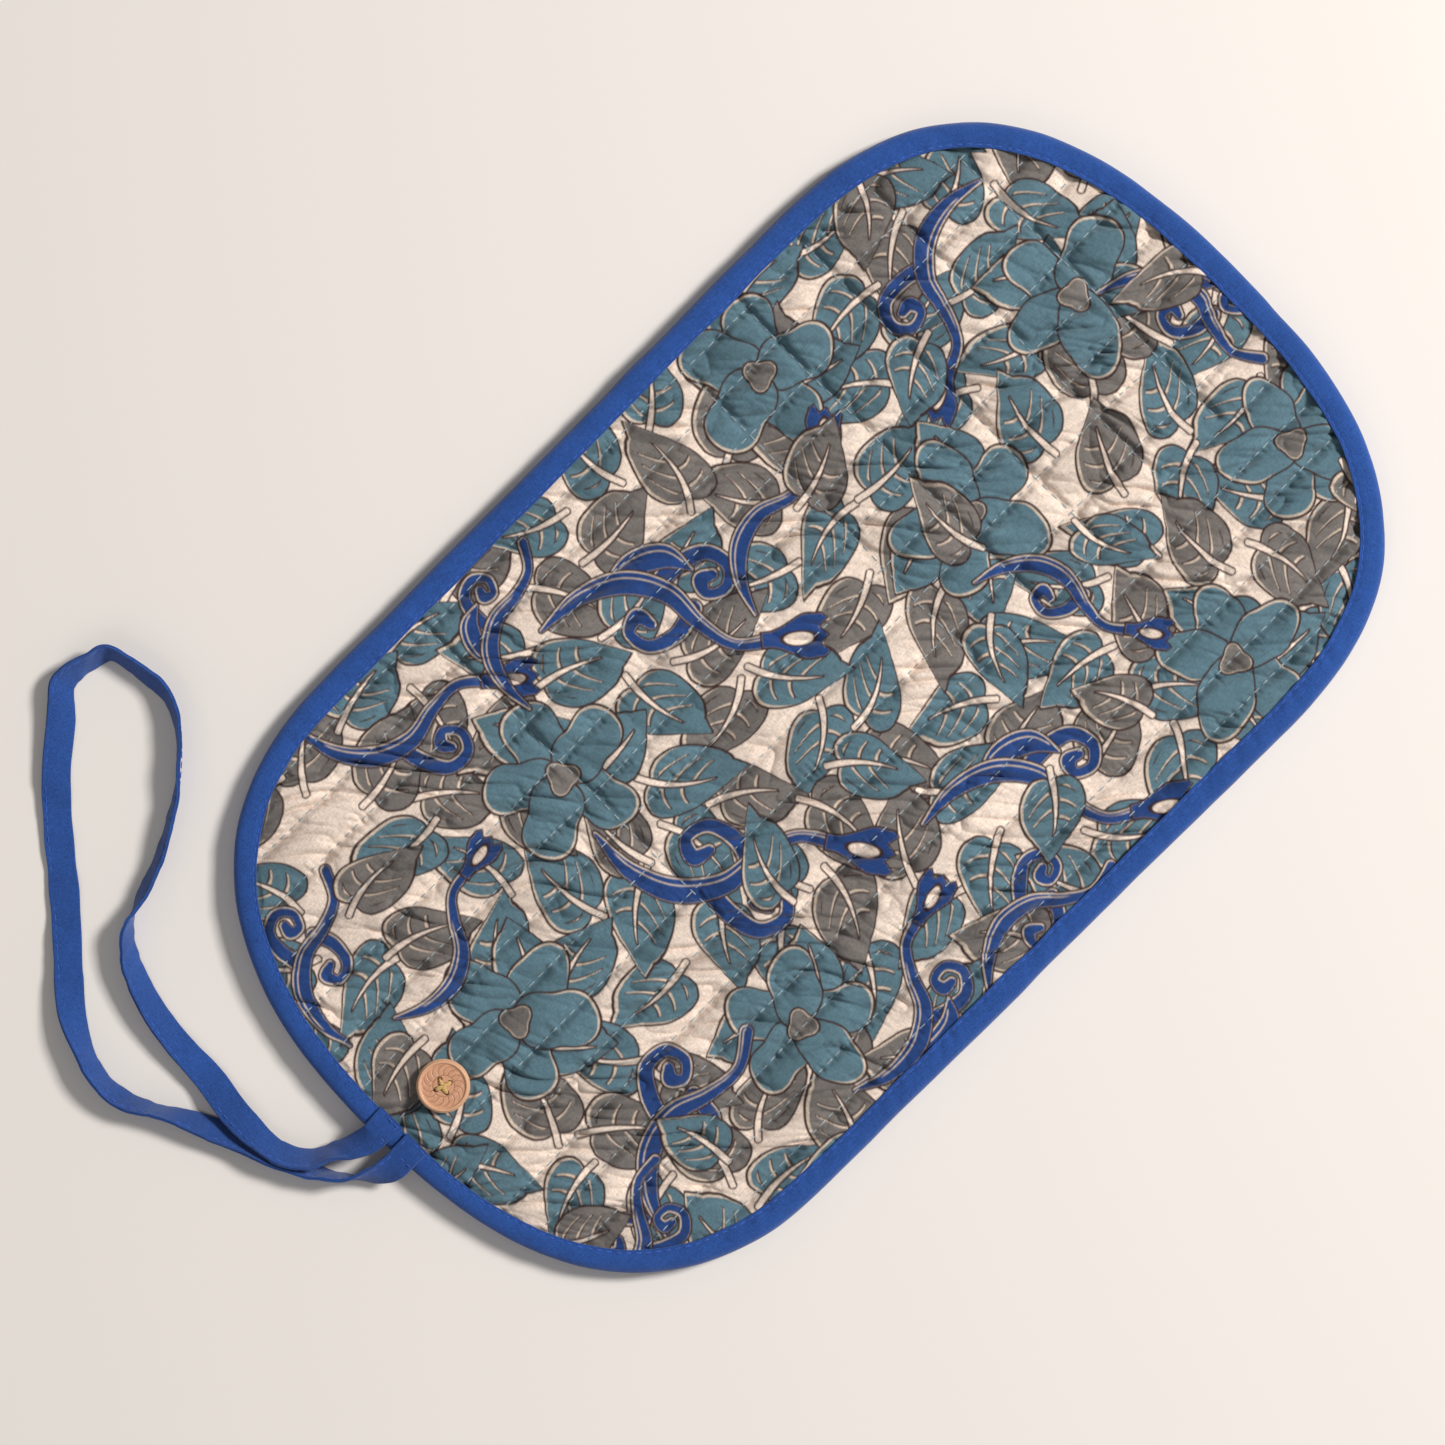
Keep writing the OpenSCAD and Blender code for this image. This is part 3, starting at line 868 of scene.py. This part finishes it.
for k in range(len(spans)):
    points, normals, faces, base = [], [], [], 0
    for run in rim_parts(k):
        points.append(tape_grid[run].reshape(-1, 3))
        normals.append(tape_normals[run].reshape(-1, 3))
        faces.append(grid_quads(len(run), len(TAPE), closed_j=True) + base)
        base += len(points[-1])
    strip_piece("binding", k, np.concatenate(points), np.concatenate(faces), binding_cloth,
                ("edge_binding",), np.concatenate(normals))

# The top-stitching runs in the groove near the tape's inner edge, on both faces
closed = np.append(np.arange(around), 0)
GROOVE, LOW_GROOVE = (3, 4), 19
groove_line = (tape_grid[:, GROOVE[0]] + tape_grid[:, GROOVE[1]])[closed] / 2
top_stitches = dashes(groove_line, 0.10, radius=0.2, **MACHINE_STITCH)
low_stitches = dashes(tape_grid[closed, LOW_GROOVE], 0.02, radius=0.15, up=DOWN, sink=0.2, **MACHINE_STITCH)
strip_stitches("binding_thread", [top_stitches, low_stitches], blue_thread)

# ---------------------------------------------------------------- lining and pockets

INNER_GRID = 1.4
inner_x, inner_starts = strip_columns(INNER_GRID)


def lining_height(x, y):
    """The inside face: quilted, and falling to the binding where no pocket hides it."""
    quilting = seam_distances(x, y)[0]
    puff = 0.75 * (1 - bell(quilting, 4.0))
    wrinkle = 0.15 * value_noise(x / 3.4, y / 9, 41) * np.exp(-quilting / 5)
    level = FOLD_Z + 0.25 - puff - wrinkle
    bare = smooth_step(MOUTH_Y + 2, MOUTH_Y - 25, y)
    fall = smooth_step(48, 9, edge_distance(x, y)) * bare
    return level * (1 - fall) + 0.95 * fall


def pocket_height(x, y):
    """The pockets' faces: pinched up at each divider and hanging loose between."""
    nearest = np.min([np.abs(x - divider) for divider in dividers], axis=0)
    pinch = 3.1 * bell(nearest, 3.2) * smooth_step(3, 16, edge_distance(x, y))
    slack = 0.35 * value_noise(x / 16, y / 30, 42) + 0.15 * value_noise(x / 5, y / 14, 43)
    gape = 0.5 * bell(y - MOUTH_Y, 10)
    return np.maximum(0.25, 0.85 + pinch + slack - gape)


def inner_strips(name, height, first_y, material, layer):
    """A layer of the inside as one flat sheet per strip, from first_y to the +Y edge."""
    x, y = np.meshgrid(inner_x, np.arange(*first_y, INNER_GRID), indexing="ij")
    grid = np.stack([x, y, height(x, y)], -1)
    normals = -grid_normals(grid)
    kept = np.abs(y) < edge_y(x, 5.0)
    for k in range(len(spans)):
        part = slice(inner_starts[k], inner_starts[k + 1] + 1)
        block = grid[part]
        quads = grid_quads(*block.shape[:2], keep=kept[part])[:, ::-1]
        sheet = strip_piece(name, k, block.reshape(-1, 3), quads, material, (layer,),
                            normals[part].reshape(-1, 3))


inner_strips("lining_cloth", lining_height, (-FAR_HALF_W, FAR_HALF_W + INNER_GRID), lining_cloth, "lining")
inner_strips("pocket", pocket_height, (MOUTH_Y, FAR_HALF_W), pocket_cloth, "pocket_wall")

# The mouth's own binding, folded over the pocket's edge: y from the edge and height of its section
MOUTH_TAPE = [(-0.5, -0.45), (1.0, -0.75), (3.0, -0.8), (5.5, -0.75), (6.6, -0.55), (6.8, -0.15), (6.6, 0.25),
              (5.5, 0.5), (3.0, 0.55), (1.0, 0.45), (-0.5, 0.2), (-0.9, -0.1)]
mouth_x = inner_x[np.abs(MOUTH_Y) < edge_y(inner_x, 5)]
mouth_z = pocket_height(mouth_x, np.full_like(mouth_x, MOUTH_Y))


def mouth_line(dy, dz):
    return np.stack([mouth_x, np.full_like(mouth_x, MOUTH_Y + dy), np.maximum(0.1, mouth_z + dz)], -1)


mouth_grid = np.stack([mouth_line(dy, dz) for dy, dz in MOUTH_TAPE], 1)
mouth_normals = -grid_normals(mouth_grid, closed_j=True)
for k in range(len(spans)):
    run = np.flatnonzero((mouth_x >= spans[k][0] - 1e-6) & (mouth_x <= spans[k][1] + 1e-6))
    strip_piece("pocket_mouth_binding", k, mouth_grid[run].reshape(-1, 3),
                grid_quads(len(run), len(MOUTH_TAPE), closed_j=True)[:, ::-1], binding_cloth,
                normals=mouth_normals[run].reshape(-1, 3))

pocket_y = np.arange(MOUTH_Y + 1, FAR_HALF_W, SEAM_STEP)
inside = []
for divider in dividers:
    x = np.full_like(pocket_y, divider)
    inside.append(dashes(on_surface(pocket_height, x, pocket_y, BINDING_W), 0.1, up=DOWN))
for j in range(len(QUILT_LINES)):
    y = quilt_line_y(j, seam_x)
    line = on_surface(lining_height, seam_x, y, BINDING_W, y < MOUTH_Y - 4)
    if len(line):
        inside.append(dashes(line, 0.1, up=DOWN))
inside.append(dashes(mouth_line(5.6, -0.75), 0.05, radius=0.18, up=DOWN, **MACHINE_STITCH))
strip_stitches("inside_thread", inside, quilt_thread)

# ---------------------------------------------------------------- strap loop

# The route of the strap's middle, and how far the tape is turned up on its edge, in degrees.
# It starts and ends under its own stitching on the binding.
LOOP = [(-218, -0.5, 11.6, 180), (-224, -0.5, 11.8, 180), (-229, -0.5, 11.2, 174), (-236, 2, 9.4, 145),
        (-243, 6, 8.6, 120), (-252, 11, 8.2, 126), (-258, 22, 7.6, 136), (-259, 41, 5.2, 158),
        (-257, 58, 2.6, 164), (-256, 76, 3.4, 148), (-253, 93, 4.2, 136), (-248, 107, 4.8, 126),
        (-243, 115, 5.3, 112), (-237.5, 119.5, 5.6, 96), (-233, 121.5, 5.5, 84), (-226, 124, 5.2, 66),
        (-215, 128, 5.2, 67), (-203, 134, 5.4, 71), (-190, 142, 5.5, 76), (-177, 153, 5.6, 80),
        (-169, 164, 5.4, 70), (-166.5, 174, 4.9, 58), (-167, 180, 5.0, 60), (-168.5, 189, 5.1, 64),
        (-170, 195, 5.1, 62), (-172.5, 197.8, 5.0, 60), (-178, 199.3, 4.9, 58), (-185, 201, 4.6, 52),
        (-190.5, 201, 4.0, 42), (-194, 199, 3.6, 38), (-202, 191.5, 2.8, 27), (-217, 179, 2.2, 18),
        (-232, 163, 1.4, 7), (-246, 146, 1.0, 0), (-260, 130, 2.2, 17), (-275, 113, 3.3, 32),
        (-281.5, 101, 4.8, 56), (-286, 87, 5.0, 62), (-285, 75, 4.9, 58), (-280, 65, 5.2, 67),
        (-275, 56, 5.0, 61), (-270, 45, 4.4, 47), (-265, 33, 4.2, 46), (-261, 21, 4.8, 58),
        (-257, 12, 5.0, 64), (-252, 3, 5.4, 72), (-245, -6, 6.6, 92), (-238, -11.5, 8.8, 128),
        (-230.5, -14, 11.0, 168), (-224, -14, 11.8, 180), (-218, -14, 11.6, 180)]
STRAP_W, STRAP_T = 11.0, 1.4
# Section of the strap: a tape folded in half, open along its stitched edge
HALF_SECTION = [(0.5, 0.12), (0.497, 0.40), (0.48, 0.5), (0.38, 0.5), (0.36, 0.40), (0.34, 0.5),
                (0.1, 0.52), (-0.2, 0.52), (-0.44, 0.5), (-0.49, 0.34)]
SECTION = [*HALF_SECTION, (-0.5, 0.0), *((a, -b) for a, b in reversed(HALF_SECTION)), (0.47, 0.0)]

loop = through(LOOP, 8)
loop_line, twist = loop[:, :3], np.radians(loop[:, 3])
loop_ahead = unit(np.gradient(loop_line, axis=0))
level = unit(np.cross(loop_ahead, (0, 0, 1)))
above = np.cross(level, loop_ahead)
# The twist lifts the strap's stitched edge
loop_across = np.cos(twist)[:, None] * level + np.sin(twist)[:, None] * above
loop_out = np.cross(loop_across, loop_ahead)
along_loop = length_along(loop_line)
ripple = value_noise(along_loop / 9, np.zeros_like(along_loop), 51)
puckering = value_noise(along_loop / 2.4, np.ones_like(along_loop), 52)
strap_grid = np.zeros((len(loop), len(SECTION), 3))
for j, (a, b) in enumerate(SECTION):
    width = STRAP_W * a * (1 + 0.05 * ripple)
    thick = STRAP_T * b * (1 + 0.12 * puckering * (a > 0.2))
    crease = value_noise(along_loop / 4.2 + 2.2 * a, np.full_like(along_loop, 5.0), 53)
    wave = 0.35 * puckering * a + 0.25 * ripple + 0.32 * crease
    strap_grid[:, j] = loop_line + loop_across * width[:, None] + loop_out * (thick + wave)[:, None]
strap_grid[..., 2] = np.maximum(strap_grid[..., 2], 0.05)
strap_faces = grid_quads(len(loop), len(SECTION), closed_j=True)[:, ::-1]
strap_normals = -grid_normals(strap_grid, closed_j=True)
strap = mesh_piece("strap_loop", strap_grid.reshape(-1, 3), strap_faces, strap_cloth,
                   strap_normals.reshape(-1, 3))


def thread_piece(name, rows):
    rings = np.concatenate(rows)
    return mesh_piece(name, rings.reshape(-1, 3), dash_faces(rings), blue_thread)


groove = loop_line + loop_across * 0.36 * STRAP_W
strap_thread = thread_piece("strap_thread", [
    dashes(groove + loop_out * (face * STRAP_T * 0.42), 0.0, radius=0.2, **MACHINE_STITCH)
    for face in (1, -1)])

# Each sewn end is held by two short rows of stitches across it
tab_rows = []
for y in (-0.5, -14.0):
    for x in (-219.0, -226.2):
        across = np.stack([np.full(20, x), np.linspace(y - 5.0, y + 5.0, 20), np.full(20, 12.45)], -1)
        tab_rows.append(dashes(across, 0.08, dash=2.2, gap=0.9, radius=0.2))
tab_thread = thread_piece("loop_end_thread", tab_rows)
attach(tab_thread, "panel_01")

for piece in (strap, strap_thread):
    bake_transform(piece)
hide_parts("tie_loop", "loop_tabs")

# ---------------------------------------------------------------- button

BUTTON_R = (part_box("closure_button")[1][0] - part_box("closure_button")[0][0]) / 2 / MM
HOLE_RING, HOLE_R = 2.9, 0.85
RAYS = 16
DISH_R, HUB_R = 8.2, 4.0


def button_top(r, angle):
    """Height of the carved face below the rim's crest: a hub, a fan of curved blades and a rim."""
    out = np.clip((r - HUB_R) / (DISH_R - HUB_R), 0, 1)
    swirl = angle * RAYS / (2 * math.pi) + 1.5 * out**2.4 - 0.3 * out
    blade = swirl % 1.0
    carving = -0.20 * bell(np.minimum(blade, 1 - blade), 0.085) - 0.07 * blade
    fan = smooth_step(HUB_R, HUB_R + 0.5, r) * smooth_step(DISH_R, DISH_R - 0.5, r)
    hub_groove = -0.22 * bell(r - HUB_R, 0.28)
    dish = -0.62 * smooth_step(DISH_R + 0.55, DISH_R - 0.1, r)
    crown = -1.1 * smooth_step(8.9, BUTTON_R, r) ** 2
    return dish + crown + fan * carving + hub_groove, fan * carving + hub_groove


turns = 240
angles = np.linspace(0, 2 * math.pi, turns, endpoint=False)
top_r = np.concatenate([np.linspace(0.02, HUB_R - 0.6, 14), np.linspace(HUB_R - 0.5, DISH_R + 0.7, 48),
                        np.linspace(DISH_R + 0.9, BUTTON_R, 14)])
button_rows = []
for r in top_r:
    drop = button_top(np.full(turns, r), angles)[0]
    button_rows.append(np.stack([r * np.cos(angles), r * np.sin(angles), BUTTON_TOP + drop], -1))
for r, z in ((BUTTON_R, BUTTON_TOP - 1.7), (BUTTON_R, BUTTON_LOW + 1.0), (BUTTON_R - 0.35, BUTTON_LOW + 0.35),
             (BUTTON_R - 1.2, BUTTON_LOW), (4.0, BUTTON_LOW), (0.02, BUTTON_LOW)):
    button_rows.append(np.stack([r * np.cos(angles), r * np.sin(angles), np.full(turns, z)], -1))
button_grid = np.stack(button_rows) + (BUTTON[0], BUTTON[1], 0)


def closed_tubes(name, grids, material):
    """One mesh from grids of rings, each closed by a fan over both its ends."""
    points, faces, offset = [], [], 0
    for grid in grids:
        rings, sides = grid.shape[:2]
        points += [grid.reshape(-1, 3), grid[0].mean(0)[None], grid[-1].mean(0)[None]]
        quads = grid_quads(rings, sides, closed_j=True)
        here = np.arange(sides)
        following = (here + 1) % sides
        last = (rings - 1) * sides
        fans = (np.stack([np.full(sides, rings * sides), here, following], -1),
                np.stack([np.full(sides, rings * sides + 1), last + following, last + here], -1))
        faces += [part + offset for part in (quads[:, [0, 1, 2]], quads[:, [0, 2, 3]], *fans)]
        offset += rings * sides + 2
    return mesh_piece(name, np.concatenate(points), np.concatenate(faces), material)


HOLE_TURN = math.radians(-18)
hole_angles = [HOLE_TURN + k * math.pi / 2 for k in range(4)]
wood = Shader("carved_wood", roughness=0.42, sheen=0.0, specular=0.45)
button_blank = closed_tubes("carved_button", [button_grid], wood.material)
for k, a in enumerate(hole_angles):
    ring = [(math.cos(t), math.sin(t)) for t in np.linspace(0, 2 * math.pi, 32, endpoint=False)]
    walls = [[(BUTTON[0] + HOLE_RING * math.cos(a) + r * c, BUTTON[1] + HOLE_RING * math.sin(a) + r * s, z)
              for c, s in ring]
             for r, z in ((HOLE_R, BUTTON_LOW - 1), (HOLE_R, BUTTON_TOP - 1.1),
                          (HOLE_R + 0.1, BUTTON_TOP - 0.85), (HOLE_R + 0.32, BUTTON_TOP - 0.6),
                          (HOLE_R + 0.6, BUTTON_TOP + 1))]
    cutter = closed_tubes(f"drill_{k}", [np.array(walls)[::-1]], wood.material)
    cut = button_blank.modifiers.new(f"hole_{k}", "BOOLEAN")
    cut.operation, cut.solver, cut.object = "DIFFERENCE", "EXACT", cutter
bpy.context.view_layer.update()
drilled = bpy.data.meshes.new_from_object(button_blank.evaluated_get(bpy.context.evaluated_depsgraph_get()))
button_blank.modifiers.clear()
button_blank.data = drilled
for k in range(4):
    bpy.data.objects.remove(bpy.data.objects[f"drill_{k}"])
spots = np.zeros(len(drilled.vertices) * 3)
drilled.vertices.foreach_get("co", spots)
spots = spots.reshape(-1, 3) / MM - (BUTTON[0], BUTTON[1], 0)
radius, angle = np.hypot(spots[:, 0], spots[:, 1]), np.arctan2(spots[:, 1], spots[:, 0])
# The carved mark drives painted shade: deeper carving and the holes make the wood darker
mark = np.where(spots[:, 2] > BUTTON_TOP - 1.6, -button_top(radius, angle)[1], 0.0)
for hole in hole_angles:
    to_hole = np.hypot(spots[:, 0] - HOLE_RING * math.cos(hole), spots[:, 1] - HOLE_RING * math.sin(hole))
    mark = np.maximum(mark, 0.5 * (to_hole < HOLE_R + 0.05))
for name, values in (("carved", mark), ("from_middle", radius)):
    drilled.attributes.new(name, "FLOAT", "POINT").data.foreach_set("value", values)
drilled.attributes["rest"].data.foreach_set("vector", (spots + (BUTTON[0], BUTTON[1], 0)).ravel())
drilled.polygons.foreach_set("use_smooth", np.ones(len(drilled.polygons), bool))
drilled.set_sharp_from_angle(angle=0.9)

grain_place = wood.mapped(wood.attribute("rest"), (0.28, 1.6, 1.6), 0.5)
grain = wood.spread(wood.noise(grain_place, 1.1, 4.0, 0.65), 0.32, 0.68, 0, 1)
timber = wood.mix(grain, (*linear(190, 136, 106), 1), (*linear(216, 166, 132), 1))
# Painted shade: darker wood in the carved grooves and in the holes
groove_shade = wood.spread(wood.attribute("carved", "Fac"), 0.02, 0.22, 0, 0.45)
timber = wood.mix(groove_shade, timber, (*linear(140, 90, 64), 1))
# Painted highlight: the rim beyond the dish is coloured lighter
rim_highlight = wood.spread(wood.attribute("from_middle", "Fac"), DISH_R - 0.3, DISH_R + 0.8, 0, 0.5)
wood.put(wood.bsdf.inputs["Base Color"], wood.mix(rim_highlight, timber, (*linear(224, 178, 140), 1)))
wood.bump(grain, 0.00003, 0.5)
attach(button_blank, "button")
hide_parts("closure_button")


def tube_rings(line, radius, sides=8, lump=0.0, seed=61):
    """Rings of a round, slightly lumpy strand along a line."""
    ahead = unit(np.gradient(line, axis=0))
    guide = np.where(np.abs(ahead[:, 2:3]) > 0.9, np.array([[1.0, 0, 0]]), np.array([[0, 0, 1.0]]))
    side = unit(np.cross(ahead, guide))
    other = np.cross(side, ahead)
    t = np.linspace(0, 2 * math.pi, sides, endpoint=False)
    bumps = 1 + lump * value_noise(np.arange(len(line)) * 0.7, np.full(len(line), 1.0), seed)
    around = np.cos(t)[None, :, None] * side[:, None] + np.sin(t)[None, :, None] * other[:, None]
    return line[:, None] + around * (radius * bumps)[:, None, None]


# Three strands each way through the holes, the second pair crossing over the first, and the
# shank wound round under the button
strands = []
seat = BUTTON_TOP - 0.62
for pair in (0, 1):
    a = hole_angles[pair + 1]
    run = np.array([math.cos(a), math.sin(a)])
    side = np.array([-math.sin(a), math.cos(a)])
    for k, offset in enumerate((-0.42, 0.0, 0.42)):
        t = np.linspace(-1, 1, 33)
        reach = HOLE_RING + 0.15
        rise = 0.30 + 0.42 * pair + (0.2 if k == 1 else 0.0)
        bow = seat + rise + 0.25 * (1 - t**2) - 0.9 * smooth_step(0.78, 1.0, np.abs(t))
        wander = offset * (1 - 0.45 * np.abs(t) ** 3) + 0.12 * np.sin(2.6 * t + k + 2 * pair)
        line = np.stack([BUTTON[0] + run[0] * reach * t + side[0] * wander,
                         BUTTON[1] + run[1] * reach * t + side[1] * wander, bow], -1)
        down = np.array([0, 0, -1.0])
        tail = np.linspace(0.3, BUTTON_TOP - BUTTON_LOW, 6)[:, None] * down
        line = np.concatenate([(line[0] + tail)[::-1], line, line[-1] + tail])
        strands.append(tube_rings(line, 0.34, 8, 0.12, 61 + k))
winding = np.linspace(0, 2 * math.pi * 4, 160)
thread_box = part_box("button_thread")
shank_r = (thread_box[1][0] - thread_box[0][0]) / 2 / MM * 0.42
shank_z = np.linspace(TOP_Z - 0.9, BUTTON_LOW + 0.1, 160)
shank = np.stack([BUTTON[0] + shank_r * np.cos(winding), BUTTON[1] + shank_r * np.sin(winding), shank_z], -1)
strands.append(tube_rings(shank, 0.33, 8, 0.1, 67))
core = np.array([[BUTTON[0], BUTTON[1], z] for z in np.linspace(TOP_Z - 1.0, BUTTON_LOW + 0.4, 5)])
strands.append(tube_rings(core, shank_r, 24))
cross = closed_tubes("button_cross", strands, button_thread)
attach(cross, "button")
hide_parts("button_thread")
